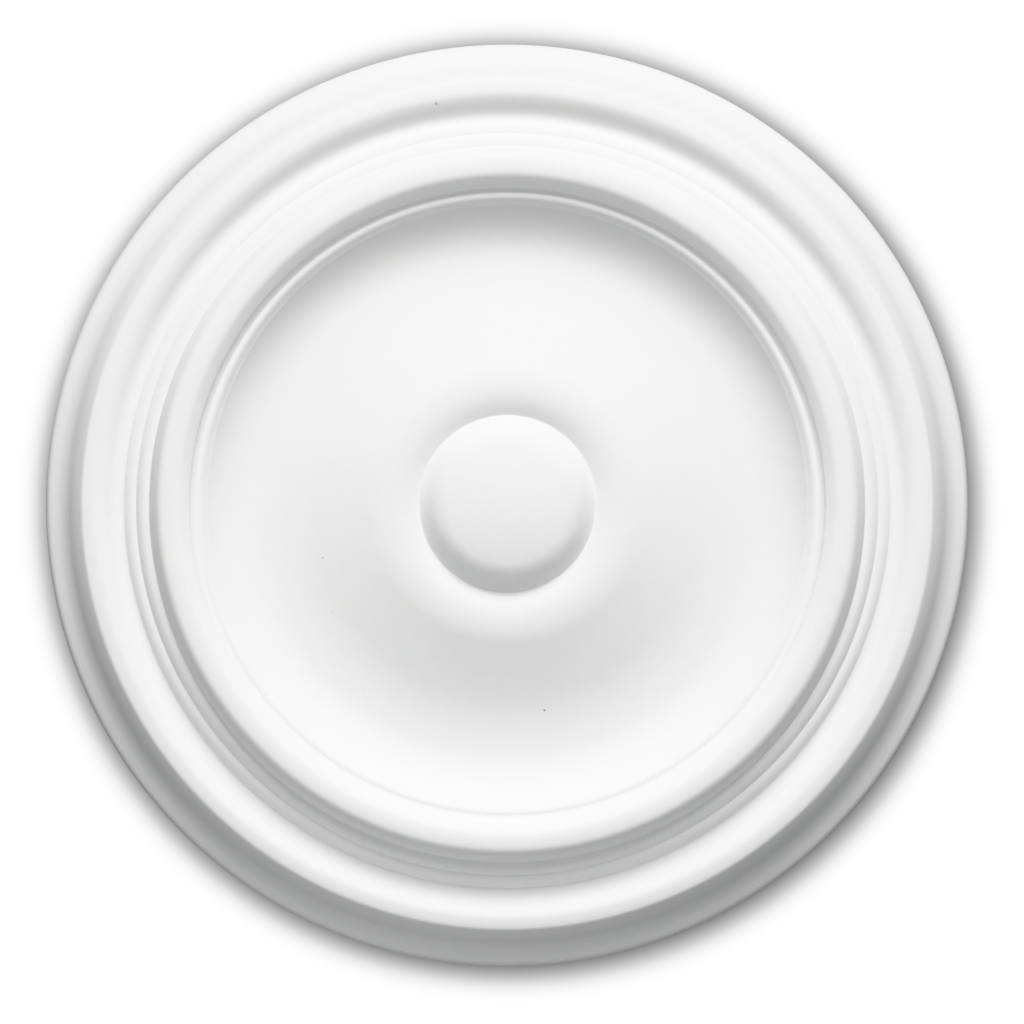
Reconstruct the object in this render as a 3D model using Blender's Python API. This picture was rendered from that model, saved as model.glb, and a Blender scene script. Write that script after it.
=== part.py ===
# Round ceiling rose, cast in one piece of rigid foam and primed white.
#
# It is modelled as it hangs, in metres. The flat back lies against the ceiling at z = 0, with
# the origin at its middle, and the moulded face looks down. The face is one turned outline.
# It is described from its middle outwards, as a run of round and straight sweeps. Each sweep
# has a width and the slopes at which it starts and ends.
#
# A slope is in degrees from level. It is plus where the face comes further down as it goes
# outwards, and minus where it goes back up towards the ceiling.

import math

import bmesh
import bpy
from mathutils import Vector

# Whole rose: half its diameter, and the plain upright edge between the ceiling and the face
ROSE_RADIUS = 0.190
RIM_EDGE = 0.0030

# Boss: a low dome, a rounded shoulder and a side that drops to a sharp foot
BOSS_RADIUS = 0.0364
BOSS_SHOULDER_WIDTH = 0.0068
BOSS_SIDE_WIDTH = 0.0051
BOSS_DOME_SLOPE = -14
BOSS_SHOULDER_SLOPE = -51
BOSS_FOOT_SLOPE = -46

# Hollow ring round the boss, which climbs from a tight foot to the brow of the panel
RING_FOOT_WIDTH = 0.0012
RING_CLIMB_WIDTH = 0.0096
RING_FOOT_SLOPE = 22
RING_CLIMB_SLOPE = 32

# Dished panel: it takes the width left between the ring and the mouldings, shared out
# between a brow, a straight flank, a long hollow, its floor and the climb at its edge
PANEL_BROW_SHARE = 10.4
PANEL_FLANK_SHARE = 22.6
PANEL_HOLLOW_SHARE = 21.8
PANEL_FLOOR_SHARE = 6.3
PANEL_CLIMB_SHARE = 14.9
PANEL_START_SLOPE = -1
PANEL_FLANK_SLOPE = -22
PANEL_HOLLOW_SLOPE = -6
PANEL_FLOOR_SLOPE = 9
PANEL_EDGE_SLOPE = 51

# Small members inside the big round: a fillet that hollows up to a half bead, the quirk
# behind the bead and a riser
FILLET_WIDTH = 0.0011
BEAD_SIDE_WIDTH = 0.0012
BEAD_WIDTH = 0.0021
QUIRK_WIDTH = 0.0011
RISER_WIDTH = 0.0022
FILLET_SLOPE = 34
BEAD_SIDE_SLOPE = 44
BEAD_START_SLOPE = 39
BEAD_END_SLOPE = -18
QUIRK_END_SLOPE = 26
RISER_END_SLOPE = 74

# Big round: a flat inner flank, a crown between two shoulders and a steep outer flank
ROUND_INNER_FLANK_WIDTH = 0.0033
ROUND_INNER_SHOULDER_WIDTH = 0.0025
ROUND_CROWN_WIDTH = 0.0049
ROUND_OUTER_SHOULDER_WIDTH = 0.0027
ROUND_OUTER_FLANK_WIDTH = 0.0030
ROUND_INNER_SLOPE = 42
ROUND_INNER_SHOULDER_SLOPE = 36
ROUND_CROWN_SLOPE = 3
ROUND_OUTER_SHOULDER_SLOPE = -17
ROUND_OUTER_SLOPE = -60
ROUND_FOOT_SLOPE = -77

# Two small steps that lead out to the hollow, each a rounded tread and a steeper nosing
FIRST_TREAD_WIDTH = 0.0035
FIRST_NOSING_WIDTH = 0.0019
FIRST_TREAD_SLOPE = 6
FIRST_NOSING_SLOPE = -42
FIRST_FOOT_SLOPE = -69
SECOND_TREAD_WIDTH = 0.0032
SECOND_NOSING_WIDTH = 0.0018
SECOND_TREAD_SLOPE = 4
SECOND_NOSING_SLOPE = -42
SECOND_FOOT_SLOPE = -69

# Hollow between the steps and the ridge
HOLLOW_WIDTH = 0.0039
HOLLOW_START_SLOPE = -26
HOLLOW_END_SLOPE = 25

# Ridge: it swells from the hollow to a crest, and its outer shoulder turns over the wall
RIDGE_SPRING_WIDTH = 0.0024
RIDGE_INNER_WIDTH = 0.0042
RIDGE_CREST_WIDTH = 0.0024
RIDGE_OUTER_WIDTH = 0.0035
RIDGE_SHOULDER_WIDTH = 0.0014
RIDGE_INNER_SLOPE = 45
RIDGE_CREST_SLOPE = 17
RIDGE_OUTER_SLOPE = -9
RIDGE_SHOULDER_SLOPE = -20

# Wall and cove under the ridge, the sloping band beyond them and the rounded rim
WALL_WIDTH = 0.0046
WALL_HEAD_SLOPE = -52
WALL_FOOT_SLOPE = -65
COVE_WIDTH = 0.0050
COVE_END_SLOPE = -41
BAND_WIDTH = 0.0028
BAND_SLOPE = -37
RIM_WIDTH = 0.0021
RIM_END_SLOPE = -80

# Smoothness: facets in a full turn, how far a facet of the outline may stand off its arc, the
# angle above which an edge stays crisp, and the distance that welds the points on the axis
FACETS_ROUND = 72
FACET_GAP = 0.00011
CRISP_ANGLE = 24
WELD_DISTANCE = 0.000001

PRIMER_WHITE = (0.84, 0.84, 0.83, 1.0)
PRIMER_ROUGHNESS = 0.55


def boss_sweeps():
    dome_width = BOSS_RADIUS - BOSS_SHOULDER_WIDTH - BOSS_SIDE_WIDTH
    return [
        (dome_width, 0, BOSS_DOME_SLOPE),
        (BOSS_SHOULDER_WIDTH, BOSS_DOME_SLOPE, BOSS_SHOULDER_SLOPE),
        (BOSS_SIDE_WIDTH, BOSS_SHOULDER_SLOPE, BOSS_FOOT_SLOPE),
    ]


def ring_sweeps():
    return [
        (RING_FOOT_WIDTH, RING_FOOT_SLOPE, RING_CLIMB_SLOPE),
        (RING_CLIMB_WIDTH, RING_CLIMB_SLOPE, PANEL_START_SLOPE),
    ]


def panel_sweeps(panel_width):
    """The panel fills the width it is given, so the mouldings round it keep their sizes."""
    sweeps = [
        (PANEL_BROW_SHARE, PANEL_START_SLOPE, PANEL_FLANK_SLOPE),
        (PANEL_FLANK_SHARE, PANEL_FLANK_SLOPE, PANEL_FLANK_SLOPE),
        (PANEL_HOLLOW_SHARE, PANEL_FLANK_SLOPE, PANEL_HOLLOW_SLOPE),
        (PANEL_FLOOR_SHARE, PANEL_HOLLOW_SLOPE, PANEL_FLOOR_SLOPE),
        (PANEL_CLIMB_SHARE, PANEL_FLOOR_SLOPE, PANEL_EDGE_SLOPE),
    ]
    one_share = panel_width / width_of(sweeps)
    return [(share * one_share, start, end) for share, start, end in sweeps]


def small_member_sweeps():
    return [
        (FILLET_WIDTH, FILLET_SLOPE, BEAD_SIDE_SLOPE),
        (BEAD_SIDE_WIDTH, BEAD_SIDE_SLOPE, BEAD_START_SLOPE),
        (BEAD_WIDTH, BEAD_START_SLOPE, BEAD_END_SLOPE),
        (QUIRK_WIDTH, BEAD_END_SLOPE, QUIRK_END_SLOPE),
        (RISER_WIDTH, QUIRK_END_SLOPE, RISER_END_SLOPE),
    ]


def big_round_sweeps():
    return [
        (ROUND_INNER_FLANK_WIDTH, ROUND_INNER_SLOPE, ROUND_INNER_SHOULDER_SLOPE),
        (ROUND_INNER_SHOULDER_WIDTH, ROUND_INNER_SHOULDER_SLOPE, ROUND_CROWN_SLOPE),
        (ROUND_CROWN_WIDTH, ROUND_CROWN_SLOPE, ROUND_OUTER_SHOULDER_SLOPE),
        (ROUND_OUTER_SHOULDER_WIDTH, ROUND_OUTER_SHOULDER_SLOPE, ROUND_OUTER_SLOPE),
        (ROUND_OUTER_FLANK_WIDTH, ROUND_OUTER_SLOPE, ROUND_FOOT_SLOPE),
    ]


def step_sweeps():
    return [
        (FIRST_TREAD_WIDTH, FIRST_TREAD_SLOPE, FIRST_NOSING_SLOPE),
        (FIRST_NOSING_WIDTH, FIRST_NOSING_SLOPE, FIRST_FOOT_SLOPE),
        (SECOND_TREAD_WIDTH, SECOND_TREAD_SLOPE, SECOND_NOSING_SLOPE),
        (SECOND_NOSING_WIDTH, SECOND_NOSING_SLOPE, SECOND_FOOT_SLOPE),
        (HOLLOW_WIDTH, HOLLOW_START_SLOPE, HOLLOW_END_SLOPE),
    ]


def ridge_sweeps():
    return [
        (RIDGE_SPRING_WIDTH, HOLLOW_END_SLOPE, RIDGE_INNER_SLOPE),
        (RIDGE_INNER_WIDTH, RIDGE_INNER_SLOPE, RIDGE_CREST_SLOPE),
        (RIDGE_CREST_WIDTH, RIDGE_CREST_SLOPE, RIDGE_OUTER_SLOPE),
        (RIDGE_OUTER_WIDTH, RIDGE_OUTER_SLOPE, RIDGE_SHOULDER_SLOPE),
        (RIDGE_SHOULDER_WIDTH, RIDGE_SHOULDER_SLOPE, WALL_HEAD_SLOPE),
    ]


def rim_sweeps():
    return [
        (WALL_WIDTH, WALL_HEAD_SLOPE, WALL_FOOT_SLOPE),
        (COVE_WIDTH, WALL_FOOT_SLOPE, COVE_END_SLOPE),
        (BAND_WIDTH, BAND_SLOPE, BAND_SLOPE),
        (RIM_WIDTH, BAND_SLOPE, RIM_END_SLOPE),
    ]


def width_of(sweeps):
    return sum(width for width, start, end in sweeps)


def sweep_points(width, start_slope, end_slope):
    """Points of one sweep after its first, as (out, down) from that first point.

    The sweep is an arc of a circle, or a straight line where both slopes are the same.
    """
    start = math.radians(start_slope)
    end = math.radians(end_slope)
    if start == end:
        return [(width, width * math.tan(start))]
    turn = end - start
    arc_radius = width / (math.sin(end) - math.sin(start))
    facets = math.ceil(math.sqrt(arc_radius * turn * abs(turn) / (8 * FACET_GAP)))
    points = []
    for facet in range(1, facets + 1):
        slope = start + turn * facet / facets
        out = arc_radius * (math.sin(slope) - math.sin(start))
        down = arc_radius * (math.cos(start) - math.cos(slope))
        points.append((out, down))
    return points


def face_outline():
    """The moulded face as (radius, depth below the ceiling), from its middle to its rim."""
    inner = boss_sweeps() + ring_sweeps()
    outer = small_member_sweeps() + big_round_sweeps() + step_sweeps() + ridge_sweeps()
    outer += rim_sweeps()
    panel = panel_sweeps(ROSE_RADIUS - width_of(inner) - width_of(outer))
    outline = [(0.0, 0.0)]
    for sweep in inner + panel + outer:
        radius, depth = outline[-1]
        outline += [(radius + out, depth + down) for out, down in sweep_points(*sweep)]
    crown_depth = RIM_EDGE - outline[-1][1]
    return [(radius, depth + crown_depth) for radius, depth in outline]


def primed_foam():
    material = bpy.data.materials.new("primed_foam")
    material.use_nodes = True
    shader = material.node_tree.nodes["Principled BSDF"]
    shader.inputs["Base Color"].default_value = PRIMER_WHITE
    shader.inputs["Roughness"].default_value = PRIMER_ROUGHNESS
    shader.inputs["Metallic"].default_value = 0.0
    return material


def turned_solid(name, outline, material):
    """Spins the face's outline round the vertical axis and closes it with a flat back."""
    corners = [Vector((radius, 0, -depth)) for radius, depth in outline]
    corners += [Vector((ROSE_RADIUS, 0, 0)), Vector((0, 0, 0))]
    shape = bmesh.new()
    points = [shape.verts.new(corner) for corner in corners]
    edges = [shape.edges.new(pair) for pair in zip(points, points[1:])]
    bmesh.ops.spin(
        shape,
        geom=points + edges,
        axis=(0, 0, 1),
        cent=(0, 0, 0),
        angle=math.tau,
        steps=FACETS_ROUND,
        use_merge=True,
    )
    bmesh.ops.remove_doubles(shape, verts=shape.verts, dist=WELD_DISTANCE)
    bmesh.ops.recalc_face_normals(shape, faces=shape.faces)
    mesh = bpy.data.meshes.new(name)
    shape.to_mesh(mesh)
    shape.free()
    mesh.shade_smooth()
    mesh.set_sharp_from_angle(angle=math.radians(CRISP_ANGLE))
    mesh.materials.append(material)
    solid = bpy.data.objects.new(name, mesh)
    bpy.context.scene.collection.objects.link(solid)
    return solid


for old_object in list(bpy.data.objects):
    bpy.data.objects.remove(old_object)

turned_solid("ceiling_rose", face_outline(), primed_foam())
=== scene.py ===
import math

import bmesh
import bpy
from mathutils import Matrix, Vector


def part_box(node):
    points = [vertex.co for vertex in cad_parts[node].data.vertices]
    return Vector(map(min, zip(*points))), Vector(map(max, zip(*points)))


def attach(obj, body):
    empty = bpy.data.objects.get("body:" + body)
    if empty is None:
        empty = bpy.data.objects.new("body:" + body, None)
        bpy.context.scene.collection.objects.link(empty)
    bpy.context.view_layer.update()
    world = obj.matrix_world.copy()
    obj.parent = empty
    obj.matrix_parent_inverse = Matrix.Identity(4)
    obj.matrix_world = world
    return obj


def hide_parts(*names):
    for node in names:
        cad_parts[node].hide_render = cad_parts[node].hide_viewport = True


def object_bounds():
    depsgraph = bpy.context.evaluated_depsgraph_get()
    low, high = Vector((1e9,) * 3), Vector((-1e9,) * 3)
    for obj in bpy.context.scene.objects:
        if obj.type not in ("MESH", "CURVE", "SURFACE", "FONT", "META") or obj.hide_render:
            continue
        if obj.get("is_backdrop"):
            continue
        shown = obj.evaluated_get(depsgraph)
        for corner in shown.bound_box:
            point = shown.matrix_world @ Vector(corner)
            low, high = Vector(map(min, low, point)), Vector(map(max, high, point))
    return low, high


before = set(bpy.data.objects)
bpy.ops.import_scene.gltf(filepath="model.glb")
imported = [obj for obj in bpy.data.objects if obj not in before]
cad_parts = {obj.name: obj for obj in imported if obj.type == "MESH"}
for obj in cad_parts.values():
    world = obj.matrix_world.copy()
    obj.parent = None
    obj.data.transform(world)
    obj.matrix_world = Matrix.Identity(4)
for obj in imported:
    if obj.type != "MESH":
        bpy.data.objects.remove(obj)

cad_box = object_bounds()


# The rose is one casting of rigid foam out of a turned mould, its face one outline carried
# round the middle, sprayed with white primer that softens every corner. It hangs face down,
# with its flat back glued to the ceiling at z = 0.

ROSE_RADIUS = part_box("ceiling_rose")[1].x
ROSE_RADIUS_MM = 190
MM = ROSE_RADIUS / ROSE_RADIUS_MM

# Each sweep of the face: its width in mm, and its slopes in degrees at its start and its end.
# A slope is plus where the face comes further down as it goes outwards.
boss = [
    (24.5, 0, -14),  # low dome
    (6.8, -14, -51),  # rounded shoulder
    (5.1, -51, -46),  # side, down to the foot
]
ring = [
    (1.2, 22, 32),  # tight foot against the boss
    (9.6, 32, -1),  # climb to the brow of the panel
]
panel_shares = [
    (10.4, -1, -22),  # brow
    (22.6, -22, -22),  # straight flank
    (21.8, -22, -6),  # long hollow
    (6.3, -6, 9),  # floor of the dish
    (14.9, 9, 51),  # climb at its edge
]
small_members = [
    (1.1, 34, 44),  # fillet, and the hollow under the bead
    (1.2, 44, 39),  # inner side of the bead
    (2.1, 39, -18),  # half bead
    (1.1, -18, 26),  # quirk behind it
    (2.2, 26, 74),  # riser
]
big_round = [
    (3.3, 42, 36),  # inner flank
    (2.5, 36, 3),  # inner shoulder
    (4.9, 3, -17),  # crown
    (2.7, -17, -60),  # outer shoulder
    (3, -60, -77),  # steep outer flank
]
steps = [
    (3.5, 6, -42),  # tread of the first step
    (1.9, -42, -69),  # its nosing
    (3.2, 4, -42),  # tread of the second step
    (1.8, -42, -69),  # its nosing
    (3.9, -26, 25),  # hollow beyond them
]
ridge = [
    (2.4, 25, 45),  # spring out of the hollow
    (4.2, 45, 17),  # inner side
    (2.4, 17, -9),  # crest
    (3.5, -9, -20),  # outer side
    (1.4, -20, -52),  # shoulder over the wall
]
rim = [
    (4.6, -52, -65),  # wall
    (5, -65, -41),  # cove
    (2.8, -37, -37),  # sloping band
    (2.1, -37, -80),  # rounded rim
]
EDGE_HEIGHT_MM = 3.0


def width_of(sweeps):
    return sum(width for width, start, end in sweeps)


def soften_corners(sweeps, round_width):
    """Puts a small round, up to round_width wide, where two sweeps meet at a corner."""
    share_of_sweep = 0.4
    softened = [list(sweep) for sweep in sweeps]
    rounds = []
    for before, after in zip(softened, softened[1:]):
        if before[2] == after[1]:
            rounds.append(None)
            continue
        half = min(round_width, share_of_sweep * before[0], share_of_sweep * after[0]) / 2
        before[0] -= half
        after[0] -= half
        rounds.append((2 * half, before[2], after[1]))
    result = []
    for sweep, corner in zip(softened, rounds + [None]):
        result.append(tuple(sweep))
        if corner:
            result.append(corner)
    return result


def sweep_points(width, start_slope, end_slope, gap):
    """Points of one sweep after its first, as (out, down), with facets within gap of its arc."""
    start, end = math.radians(start_slope), math.radians(end_slope)
    if start == end:
        pieces = max(1, round(width / LONGEST_FACET_MM))
        steps_out = [width * piece / pieces for piece in range(1, pieces + 1)]
        return [(out, out * math.tan(start)) for out in steps_out]
    turn = end - start
    arc_radius = width / (math.sin(end) - math.sin(start))
    by_gap = math.sqrt(arc_radius * turn * abs(turn) / (8 * gap))
    pieces = math.ceil(max(by_gap, width / LONGEST_FACET_MM))
    slopes = [start + turn * piece / pieces for piece in range(1, pieces + 1)]
    return [
        (
            arc_radius * (math.sin(slope) - math.sin(start)),
            arc_radius * (math.cos(start) - math.cos(slope)),
        )
        for slope in slopes
    ]


PRIMER_ROUND_MM = 0.35
BACK_ROUND_MM = 0.3
BACK_ROUND_FACETS = 3
BACK_CIRCLES_MM = (186, 170, 140, 100, 60, 20, 0)
FACET_GAP_MM = 0.006
LONGEST_FACET_MM = 1.6
FACETS_ROUND = 256

inner = boss + ring
outer = small_members + big_round + steps + ridge + rim
share = (ROSE_RADIUS_MM - width_of(inner) - width_of(outer)) / width_of(panel_shares)
panel = [(width * share, start, end) for width, start, end in panel_shares]

outline = [(0.0, 0.0)]
for sweep in soften_corners(inner + panel + outer, PRIMER_ROUND_MM):
    radius, depth = outline[-1]
    for out, down in sweep_points(*sweep, FACET_GAP_MM):
        outline.append((radius + out, depth + down))
crown_depth = EDGE_HEIGHT_MM - outline[-1][1]
outline = [(radius, depth + crown_depth) for radius, depth in outline]
for facet in range(BACK_ROUND_FACETS + 1):
    angle = math.radians(90 * facet / BACK_ROUND_FACETS)
    outline.append((
        ROSE_RADIUS_MM - BACK_ROUND_MM * (1 - math.cos(angle)),
        BACK_ROUND_MM * (1 - math.sin(angle)),
    ))
outline += [(radius, 0.0) for radius in BACK_CIRCLES_MM]

section = bpy.data.meshes.new("rose outline")
section.from_pydata(
    [(radius * MM, 0, -depth * MM) for radius, depth in outline],
    [(point, point + 1) for point in range(len(outline) - 1)],
    [],
)
rose = bpy.data.objects.new("rose_outline", section)
bpy.context.scene.collection.objects.link(rose)


def new_node(tree, kind, settings=None, **inputs):
    """A node with its settings, and its inputs set or linked by name, or by number as i0, i1."""
    node = tree.nodes.new(kind)
    for name, value in (settings or {}).items():
        setattr(node, name, value)
    for name, value in inputs.items():
        numbered = name[0] == "i" and name[1:].isdigit()
        socket = node.inputs[int(name[1:]) if numbered else name.replace("_", " ")]
        if isinstance(value, bpy.types.NodeSocket):
            tree.links.new(value, socket)
        else:
            socket.default_value = value
    return node


def layered_bumps(tree, heights):
    """Bumps one over another, each a height and its depth in metres, minus for a dent."""
    normal = None
    for height, depth in heights:
        bump = new_node(
            tree, "ShaderNodeBump", {"invert": depth < 0}, Distance=abs(depth), Height=height,
        )
        if normal:
            tree.links.new(normal, bump.inputs["Normal"])
        normal = bump.outputs["Normal"]
    return normal


# Pinholes that the primer didn't fill: their places on the face and their widths, in mm, and how
# open each is, up to 1, which sets both the depth of its dent and how dark its painted shade is.
PINHOLES = [
    (-29.3, -164.7, 1.3, 0.65),
    (-75.9, 22.3, 0.9, 0.5),
    (-72.0, 44.4, 0.8, 0.2),
    (-59.4, 75.7, 0.8, 0.25),
    (15.3, 84.8, 1.0, 0.9),
    (-71.4, 166.9, 0.9, 0.15),
]
BRIM_OF_WIDTH = 0.65
BOTTOM_OF_WIDTH = 0.25


def primed_face():
    """Sprayed white primer: a smooth matt film with faint clouding, fine grain and pinholes, each
    with painted shade in it.
    """
    material = bpy.data.materials.new("primed foam face")
    material.use_nodes = True
    tree = material.node_tree
    shader = tree.nodes["Principled BSDF"]
    place = tree.nodes.new("ShaderNodeTexCoord").outputs["Object"]

    cloud = new_node(tree, "ShaderNodeTexNoise", Vector=place, Scale=22.0, Detail=3.0)
    mottle = new_node(tree, "ShaderNodeTexNoise", Vector=place, Scale=260.0, Detail=4.0)
    clouded = new_node(
        tree, "ShaderNodeMixRGB", Fac=cloud.outputs["Fac"],
        Color1=(0.838, 0.838, 0.838, 1), Color2=(0.862, 0.862, 0.862, 1),
    )
    mottled = new_node(
        tree, "ShaderNodeMixRGB", {"blend_type": "MULTIPLY"}, Fac=0.045,
        Color1=clouded.outputs["Color"], Color2=mottle.outputs["Color"],
    )

    # Each pinhole is a small dent with a soft brim; its dark colour is painted shade inside the
    # hole.
    flat_place = new_node(
        tree, "ShaderNodeVectorMath", {"operation": "MULTIPLY"}, i0=place, i1=(1, 1, 0),
    )
    holes = None
    for x, y, width, opening in PINHOLES:
        away = new_node(
            tree, "ShaderNodeVectorMath", {"operation": "DISTANCE"},
            i0=flat_place.outputs[0], i1=(x * MM, y * MM, 0),
        )
        hole = new_node(
            tree, "ShaderNodeMapRange", {"interpolation_type": "SMOOTHSTEP"},
            Value=away.outputs["Value"], From_Min=BRIM_OF_WIDTH * width * MM,
            From_Max=BOTTOM_OF_WIDTH * width * MM, To_Max=opening,
        )
        if holes is None:
            holes = hole
        else:
            holes = new_node(
                tree, "ShaderNodeMath", {"operation": "MAXIMUM"}, i0=holes.outputs[0],
                i1=hole.outputs[0],
            )
    # The pinholes' dark colour is painted shade inside the holes.
    with_painted_hole_shade = new_node(
        tree, "ShaderNodeMixRGB", Fac=holes.outputs[0],
        Color1=mottled.outputs["Color"], Color2=(0.36, 0.35, 0.33, 1),
    )
    tree.links.new(with_painted_hole_shade.outputs["Color"], shader.inputs["Base Color"])

    # The mould's turning marks show as faint fine rings on the steps and the hollow past them.
    radius = new_node(
        tree, "ShaderNodeVectorMath", {"operation": "LENGTH"}, i0=flat_place.outputs[0],
    )
    turning_mark = new_node(
        tree, "ShaderNodeMath", {"operation": "PINGPONG"},
        i0=radius.outputs["Value"], i1=0.45 * MM,
    )
    in_band = new_node(
        tree, "ShaderNodeMapRange", {"interpolation_type": "SMOOTHSTEP"},
        Value=radius.outputs["Value"], From_Min=147 * MM, From_Max=151 * MM,
    )
    past_band = new_node(
        tree, "ShaderNodeMapRange", {"interpolation_type": "SMOOTHSTEP"},
        Value=radius.outputs["Value"], From_Min=162 * MM, From_Max=158 * MM,
    )
    band = new_node(
        tree, "ShaderNodeMath", {"operation": "MULTIPLY"},
        i0=in_band.outputs[0], i1=past_band.outputs[0],
    )
    rings = new_node(
        tree, "ShaderNodeMath", {"operation": "MULTIPLY"},
        i0=turning_mark.outputs[0], i1=band.outputs[0],
    )

    # The film's own texture: orange peel, with a fine tooth over it.
    peel = new_node(tree, "ShaderNodeTexNoise", Vector=place, Scale=340.0, Detail=2.0)
    tooth = new_node(tree, "ShaderNodeTexNoise", Vector=place, Scale=1100.0, Detail=2.0)
    heights = (
        (peel.outputs["Fac"], 0.000018),
        (tooth.outputs["Fac"], 0.000007),
        (rings.outputs[0], 0.02),
        (holes.outputs[0], -0.00025),
    )
    tree.links.new(layered_bumps(tree, heights), shader.inputs["Normal"])

    sheen = new_node(
        tree, "ShaderNodeMapRange", Value=cloud.outputs["Fac"], To_Min=0.58, To_Max=0.72,
    )
    tree.links.new(sheen.outputs["Result"], shader.inputs["Roughness"])
    shader.inputs["Specular IOR Level"].default_value = 0.3
    return material


def foam_back():
    """The back is the foam's own pale skin, rubbed flat, with open cells, painted shade in its
    wide bubbles, and stray primer.
    """
    material = bpy.data.materials.new("bare foam back")
    material.use_nodes = True
    tree = material.node_tree
    shader = tree.nodes["Principled BSDF"]
    place = tree.nodes.new("ShaderNodeTexCoord").outputs["Object"]

    cloud = new_node(tree, "ShaderNodeTexNoise", Vector=place, Scale=16.0, Detail=5.0)
    foam = new_node(
        tree, "ShaderNodeMixRGB", Fac=cloud.outputs["Fac"],
        Color1=(0.70, 0.665, 0.575, 1), Color2=(0.80, 0.775, 0.70, 1),
    )

    # Cut cells: many fine ones, and some wide bubbles where the noise lets them through. The
    # bubbles are dents, and their dark colour is painted shade inside them.
    cells = new_node(tree, "ShaderNodeTexVoronoi", Vector=place, Scale=900.0)
    bubbles = new_node(tree, "ShaderNodeTexVoronoi", Vector=place, Scale=120.0)
    bubble_places = new_node(tree, "ShaderNodeTexNoise", Vector=place, Scale=60.0)
    bubble_size = new_node(
        tree, "ShaderNodeMapRange", Value=bubble_places.outputs["Fac"],
        From_Min=0.55, From_Max=0.8, To_Min=0.0, To_Max=0.22,
    )
    bubble = new_node(
        tree, "ShaderNodeMath", {"operation": "LESS_THAN"},
        i0=bubbles.outputs["Distance"], i1=bubble_size.outputs[0],
    )
    # The wide bubbles get a dark colour here: painted shade inside them.
    pitted_with_painted_shade = new_node(
        tree, "ShaderNodeMixRGB", Fac=bubble.outputs[0],
        Color1=foam.outputs["Color"], Color2=(0.42, 0.38, 0.30, 1),
    )

    # Rubbing marks all run one way. Primer has drifted in over the rim.
    stretched = new_node(
        tree, "ShaderNodeMapping", Vector=place, Rotation=(0, 0, 0.5), Scale=(12, 700, 1),
    )
    rubbing = new_node(
        tree, "ShaderNodeTexNoise", Vector=stretched.outputs[0], Scale=1.0, Detail=3.0,
    )
    rubbed = new_node(
        tree, "ShaderNodeMixRGB", {"blend_type": "MULTIPLY"}, Fac=0.25,
        Color1=pitted_with_painted_shade.outputs["Color"], Color2=rubbing.outputs["Color"],
    )
    radius = new_node(tree, "ShaderNodeVectorMath", {"operation": "LENGTH"}, i0=place)
    drift = new_node(tree, "ShaderNodeTexNoise", Vector=place, Scale=70.0, Detail=6.0)
    ragged = new_node(
        tree, "ShaderNodeMath", {"operation": "MULTIPLY_ADD"},
        i0=drift.outputs["Fac"], i1=16 * MM, i2=radius.outputs["Value"],
    )
    overspray = new_node(
        tree, "ShaderNodeMapRange", {"interpolation_type": "SMOOTHSTEP"},
        Value=ragged.outputs[0], From_Min=188 * MM, From_Max=197 * MM,
    )
    sprayed = new_node(
        tree, "ShaderNodeMixRGB", Fac=overspray.outputs[0],
        Color1=rubbed.outputs["Color"], Color2=(0.85, 0.85, 0.84, 1),
    )
    tree.links.new(sprayed.outputs["Color"], shader.inputs["Base Color"])

    heights = (
        (cells.outputs["Distance"], 0.00012),
        (rubbing.outputs["Fac"], 0.00005),
        (bubble.outputs[0], -0.0004),
    )
    tree.links.new(layered_bumps(tree, heights), shader.inputs["Normal"])
    shader.inputs["Roughness"].default_value = 0.85
    shader.inputs["Specular IOR Level"].default_value = 0.2
    return material


# Points nearer than this many metres are one point.
SAME_PLACE = 1e-7


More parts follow.
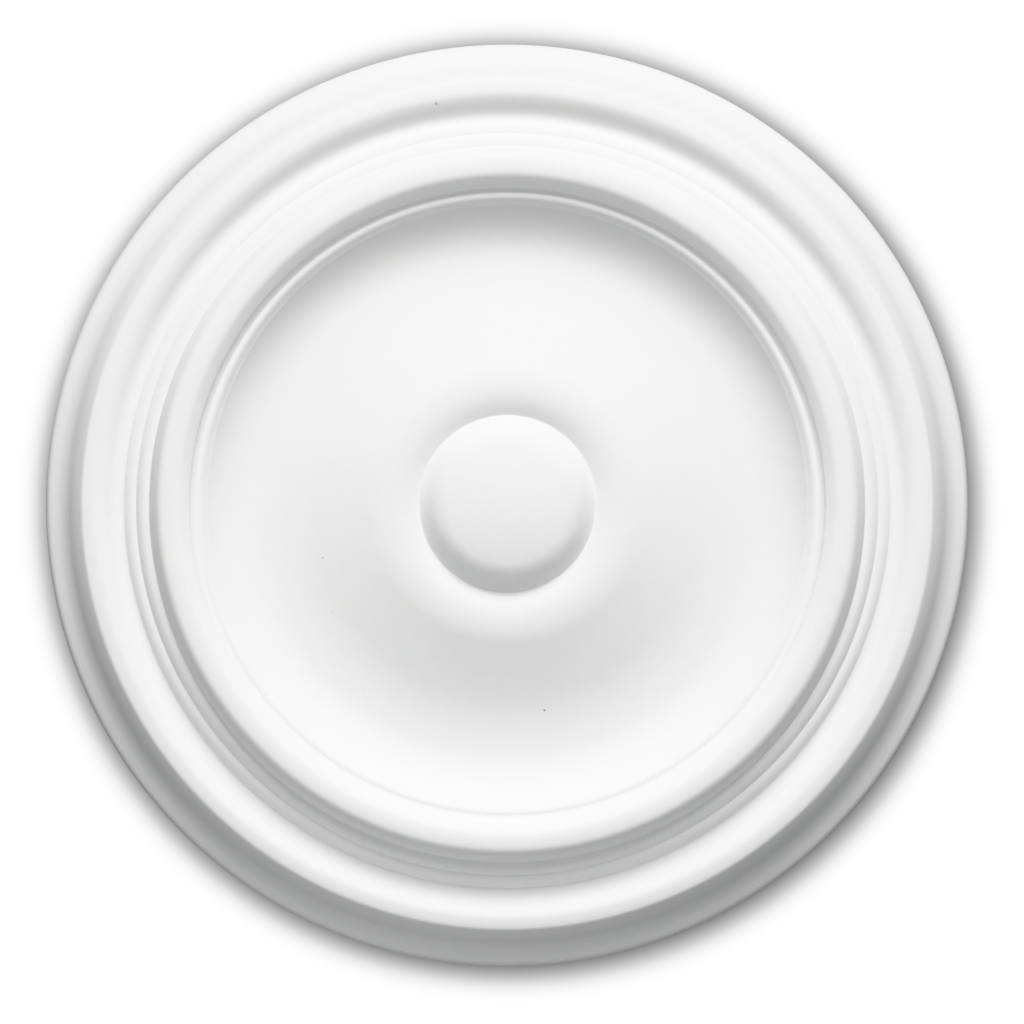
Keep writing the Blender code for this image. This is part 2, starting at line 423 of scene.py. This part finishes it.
def turned_casting(face_material, back_material):
    """Carries an outline round the vertical axis, and lets the face swell by a hair."""
    tree = bpy.data.node_groups.new("turned casting", "GeometryNodeTree")
    for name, kind in (
        ("Outline", "NodeSocketGeometry"),
        ("Facets round", "NodeSocketInt"),
        ("Swell depth", "NodeSocketFloat"),
        ("Swells per metre", "NodeSocketFloat"),
        ("Seed", "NodeSocketFloat"),
    ):
        tree.interface.new_socket(name, in_out="INPUT", socket_type=kind)
    tree.interface.new_socket("Casting", in_out="OUTPUT", socket_type="NodeSocketGeometry")
    given = tree.nodes.new("NodeGroupInput").outputs
    result = tree.nodes.new("NodeGroupOutput")

    count = new_node(tree, "GeometryNodeAttributeDomainSize", Geometry=given["Outline"])
    stations = new_node(
        tree, "FunctionNodeIntegerMath", {"operation": "ADD"}, i0=given["Facets round"], i1=1,
    )
    grid = new_node(
        tree, "GeometryNodeMeshGrid",
        Vertices_X=count.outputs["Point Count"], Vertices_Y=stations.outputs[0],
    )
    index = tree.nodes.new("GeometryNodeInputIndex").outputs[0]
    along = new_node(
        tree, "FunctionNodeIntegerMath", {"operation": "DIVIDE_FLOOR"},
        i0=index, i1=stations.outputs[0],
    )
    turn = new_node(
        tree, "FunctionNodeIntegerMath", {"operation": "MODULO"},
        i0=index, i1=stations.outputs[0],
    )
    place = tree.nodes.new("GeometryNodeInputPosition").outputs[0]
    point = new_node(
        tree, "GeometryNodeSampleIndex", {"data_type": "FLOAT_VECTOR", "domain": "POINT"},
        Geometry=given["Outline"], Value=place, Index=along.outputs[0],
    )
    part_turn = new_node(
        tree, "ShaderNodeMath", {"operation": "DIVIDE"},
        i0=turn.outputs[0], i1=given["Facets round"],
    )
    angle = new_node(
        tree, "ShaderNodeMath", {"operation": "MULTIPLY"}, i0=part_turn.outputs[0], i1=math.tau,
    )
    carried = new_node(
        tree, "ShaderNodeVectorRotate", {"rotation_type": "Z_AXIS"},
        Vector=point.outputs[0], Angle=angle.outputs[0],
    )
    turned = new_node(
        tree, "GeometryNodeSetPosition",
        Geometry=grid.outputs["Mesh"], Position=carried.outputs[0],
    )
    closed = new_node(
        tree, "GeometryNodeMergeByDistance", Geometry=turned.outputs[0], Distance=SAME_PLACE,
    )

    # The face swells only where it is clear of the rim, and the back stays flat.
    height = new_node(tree, "ShaderNodeSeparateXYZ", Vector=place)
    on_face = new_node(
        tree, "ShaderNodeMapRange", Value=height.outputs["Z"],
        From_Min=-0.003, From_Max=-0.012, To_Min=0.0, To_Max=1.0,
    )
    swell = new_node(
        tree, "ShaderNodeTexNoise", {"noise_dimensions": "4D"},
        Vector=place, W=given["Seed"], Scale=given["Swells per metre"], Detail=1.0,
    )
    about_zero = new_node(
        tree, "ShaderNodeMath", {"operation": "SUBTRACT"}, i0=swell.outputs[0], i1=0.5,
    )
    amount = new_node(
        tree, "ShaderNodeMath", {"operation": "MULTIPLY"},
        i0=about_zero.outputs[0], i1=given["Swell depth"],
    )
    held = new_node(
        tree, "ShaderNodeMath", {"operation": "MULTIPLY"},
        i0=amount.outputs[0], i1=on_face.outputs[0],
    )
    lift = new_node(tree, "ShaderNodeCombineXYZ", Z=held.outputs[0])
    swollen = new_node(
        tree, "GeometryNodeSetPosition",
        Geometry=closed.outputs[0], Offset=lift.outputs[0],
    )

    real = new_node(tree, "GeometryNodeRealizeInstances", Geometry=swollen.outputs[0])
    primed = new_node(
        tree, "GeometryNodeSetMaterial", Geometry=real.outputs[0], Material=face_material,
    )
    on_back = new_node(
        tree, "ShaderNodeMath", {"operation": "GREATER_THAN"},
        i0=height.outputs["Z"], i1=-0.00001,
    )
    finished = new_node(
        tree, "GeometryNodeSetMaterial", Geometry=primed.outputs[0],
        Selection=on_back.outputs[0], Material=back_material,
    )
    tree.links.new(finished.outputs[0], result.inputs["Casting"])
    return tree


def set_input(modifier, name, value):
    """Sets a Geometry Nodes input by its socket's identifier."""
    for item in modifier.node_group.interface.items_tree:
        if item.name == name and item.in_out == "INPUT":
            modifier[item.identifier] = value


turning = rose.modifiers.new("turned casting", "NODES")
turning.node_group = turned_casting(primed_face(), foam_back())
set_input(turning, "Facets round", FACETS_ROUND)
set_input(turning, "Swell depth", 0.00008)
set_input(turning, "Swells per metre", 26.0)
set_input(turning, "Seed", 3.7)

graph = bpy.context.evaluated_depsgraph_get()
mesh = bpy.data.meshes.new_from_object(rose.evaluated_get(graph), depsgraph=graph)
rose.modifiers.remove(turning)
casting = bpy.data.objects.new("rose_casting", mesh)
bpy.context.scene.collection.objects.link(casting)
bpy.data.objects.remove(rose)

shape = bmesh.new()
shape.from_mesh(mesh)
bmesh.ops.remove_doubles(shape, verts=shape.verts, dist=SAME_PLACE)
bmesh.ops.recalc_face_normals(shape, faces=shape.faces)
shape.to_mesh(mesh)
shape.free()
mesh.shade_smooth()

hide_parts("ceiling_rose")
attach(casting, "root")


# The room: a plain white ceiling that the rose is fixed to, and a plain pale floor. Each is
# seen from inside the room and is open from outside, so that the rose's back can be seen.
# Neither is part of the rose, and the ceiling's white, with the rose's soft shadow painted on it,
# shows to the camera alone.

def room_surface(name, corners, faces, seen, bounced):
    """A flat piece of the room. The camera sees one shader of it and the light meets another."""
    material = bpy.data.materials.new(name)
    material.use_nodes = True
    tree = material.node_tree
    tree.nodes.remove(tree.nodes["Principled BSDF"])
    path = tree.nodes.new("ShaderNodeLightPath")
    shown = new_node(
        tree, "ShaderNodeMixShader",
        i0=path.outputs["Is Camera Ray"], i1=bounced(tree), i2=seen(tree),
    )
    side = tree.nodes.new("ShaderNodeNewGeometry")
    clear = tree.nodes.new("ShaderNodeBsdfTransparent")
    one_sided = new_node(
        tree, "ShaderNodeMixShader",
        i0=side.outputs["Backfacing"], i1=shown.outputs[0], i2=clear.outputs[0],
    )
    tree.links.new(one_sided.outputs[0], tree.nodes["Material Output"].inputs["Surface"])

    data = bpy.data.meshes.new(name)
    data.from_pydata(corners, [], faces)
    data.materials.append(material)
    surface = bpy.data.objects.new(name, data)
    bpy.context.scene.collection.objects.link(surface)
    surface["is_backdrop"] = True
    return surface


def matt(red, green, blue):
    """A maker of plain matt paint."""
    return lambda tree: new_node(
        tree, "ShaderNodeBsdfDiffuse", Color=(red, green, blue, 1),
    ).outputs[0]


def white_with_painted_shadow(tree):
    """A bright white glow with the rose's soft shadow painted on it: darkest round the rim, most
    at lower right.
    """
    shadow_middle = (1.3 * MM, 1.9 * MM, 0)
    shadow_radius = 192.1
    at_shadow_edge = 0.5
    brighter_per_mm = 0.068
    brighter_per_square_mm = 0.00177
    brightest = 1.8

    place = tree.nodes.new("ShaderNodeTexCoord").outputs["Object"]
    away = new_node(
        tree, "ShaderNodeVectorMath", {"operation": "DISTANCE"}, i0=place, i1=shadow_middle,
    )
    beyond = new_node(
        tree, "ShaderNodeMath", {"operation": "MULTIPLY_ADD"},
        i0=away.outputs["Value"], i1=1 / MM, i2=-shadow_radius,
    )
    steeper = new_node(
        tree, "ShaderNodeMath", {"operation": "MULTIPLY_ADD"},
        i0=beyond.outputs[0], i1=brighter_per_square_mm, i2=brighter_per_mm,
    )
    light = new_node(
        tree, "ShaderNodeMath", {"operation": "MULTIPLY_ADD"},
        i0=beyond.outputs[0], i1=steeper.outputs[0], i2=at_shadow_edge,
    )
    limited = new_node(
        tree, "ShaderNodeMath", {"operation": "MINIMUM"}, i0=light.outputs[0], i1=brightest,
    )
    return new_node(tree, "ShaderNodeEmission", Strength=limited.outputs[0]).outputs[0]


# The ceiling is left out behind the rose, so that the lamp above reaches the rose's back.
CEILING_RADIUS = 1.6
CEILING_HEIGHT = 0.0002
CEILING_SIDES = 256
corners = []
faces = []
for side in range(CEILING_SIDES):
    turn = side / CEILING_SIDES * math.tau
    for radius in (ROSE_RADIUS, CEILING_RADIUS):
        corners.append((radius * math.cos(turn), radius * math.sin(turn), CEILING_HEIGHT))
    near = 2 * side
    near_next = 2 * ((side + 1) % CEILING_SIDES)
    faces.append((near, near_next, near_next + 1, near + 1))
room_surface("ceiling", corners, faces, seen=white_with_painted_shadow, bounced=matt(0, 0, 0))

FLOOR_REACH = 20.0
FLOOR_HEIGHT = -3.4
quarters = ((-1, -1), (1, -1), (1, 1), (-1, 1))
corners = [(x * FLOOR_REACH, y * FLOOR_REACH, FLOOR_HEIGHT) for x, y in quarters]
floor = room_surface(
    "floor", corners, [(0, 1, 2, 3)], seen=matt(1.25, 1.25, 1.24), bounced=matt(0.80, 0.80, 0.79),
)
floor.visible_shadow = False


# Soft studio light: one wide, distant lamp low on the side at the top of the picture, an even,
# pale surround, and a faint lamp close to the rose at the bottom of the picture. A soft lamp
# overhead shows the back.

def put_lamp(name, kind, location, towards, power, colour):
    """A lamp of that kind, standing there and aimed along its direction from the rose."""
    data = bpy.data.lights.new(name, kind)
    data.energy = power
    data.color = colour
    lamp = bpy.data.objects.new(name, data)
    bpy.context.scene.collection.objects.link(lamp)
    lamp.location = location
    lamp.rotation_euler = towards.to_track_quat("Z", "Y").to_euler()
    return data


# The side lamp stands this many degrees down from the ceiling, and this many round from +X.
SIDE_LAMP_HEIGHT = math.radians(39.6)
SIDE_LAMP_TURN = math.radians(-84.9)
SIDE_LAMP_SPREAD = math.radians(32.8)
towards = Vector((
    math.cos(SIDE_LAMP_HEIGHT) * math.cos(SIDE_LAMP_TURN),
    math.cos(SIDE_LAMP_HEIGHT) * math.sin(SIDE_LAMP_TURN),
    -math.sin(SIDE_LAMP_HEIGHT),
))
side_lamp = put_lamp("side lamp", "SUN", towards * 3, towards, 3.217, (1.009, 0.997, 1.0))
side_lamp.angle = SIDE_LAMP_SPREAD

towards = Vector((-0.089, 0.361, -0.30))
near_lamp = put_lamp("near lamp", "SPOT", towards, towards, 0.634, (1.0, 1.0, 1.0))
near_lamp.shadow_soft_size = 0.12
near_lamp.spot_size = math.radians(120)
near_lamp.spot_blend = 0.2

towards = Vector((-0.25, -0.35, 3.0))
overhead_lamp = put_lamp("overhead lamp", "SPOT", towards, towards, 170.0, (1.0, 1.0, 1.0))
overhead_lamp.shadow_soft_size = 0.35
overhead_lamp.spot_size = math.radians(24)
overhead_lamp.spot_blend = 0.5

world = bpy.data.worlds.new("pale surround")
bpy.context.scene.world = world
world.use_nodes = True
tree = world.node_tree
surround = tree.nodes["Background"]
surround.inputs["Color"].default_value = (0.979, 1.0, 1.0, 1)
surround.inputs["Strength"].default_value = 0.496
path = tree.nodes.new("ShaderNodeLightPath")
backdrop = new_node(tree, "ShaderNodeBackground", Color=(1.0, 1.0, 1.0, 1), Strength=0.70)
mixed = new_node(
    tree, "ShaderNodeMixShader",
    i0=path.outputs["Is Camera Ray"], i1=surround.outputs[0], i2=backdrop.outputs[0],
)
tree.links.new(mixed.outputs[0], tree.nodes["World Output"].inputs["Surface"])


# Camera: far below the rose, looking straight up at it, so that the rose is seen face on. It
# stands a hair towards the bottom of the picture.

PICTURE_PIXELS = 1024
PIXEL = ROSE_RADIUS / 461
CAMERA_DISTANCE = 9.0
ASIDE = Vector((-0.047, 0.157, 0))
look_at = Vector((5.0 * PIXEL, 6.7 * PIXEL, -0.003))

camera_data = bpy.data.cameras.new("camera")
camera_data.sensor_width = 36.0
camera_data.lens = CAMERA_DISTANCE * camera_data.sensor_width / (PICTURE_PIXELS * PIXEL)
camera = bpy.data.objects.new("camera", camera_data)
bpy.context.scene.collection.objects.link(camera)
camera.location = look_at + ASIDE - Vector((0, 0, CAMERA_DISTANCE))
sight = (look_at - camera.location).normalized()
across = Vector((1, 0, 0))
upwards = across.cross(sight).normalized()
across = sight.cross(upwards)
camera.rotation_euler = Matrix((across, upwards, -sight)).transposed().to_euler()
bpy.context.scene.camera = camera


# The picture keeps its tones as they are up to a knee, and eases the highlights in above it.

TONE_KNEE = 0.728
TONE_TOP = 1.022
BRIGHTEST = 3.0
SHOULDER_POINTS = 12
view = bpy.context.scene.view_settings
view.view_transform = "Standard"
view.look = "None"
view.use_curve_mapping = True
view.curve_mapping.clip_max_x = BRIGHTEST
view.curve_mapping.clip_max_y = TONE_TOP
tone = view.curve_mapping.curves[3]
tone.points[0].location = (0, 0)
tone.points[1].location = (TONE_KNEE, TONE_KNEE)
tone.points[1].handle_type = "VECTOR"
shoulder = TONE_TOP - TONE_KNEE
for point in range(1, SHOULDER_POINTS + 1):
    light = TONE_KNEE + (BRIGHTEST - TONE_KNEE) * (point / SHOULDER_POINTS) ** 2
    eased = TONE_KNEE + shoulder * (1 - math.exp((TONE_KNEE - light) / shoulder))
    tone.points.new(light, eased)
view.curve_mapping.update()

sizes = {"cad": cad_box, "visual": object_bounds()}
sizes = {name: [list(corner) for corner in box] for name, box in sizes.items()}
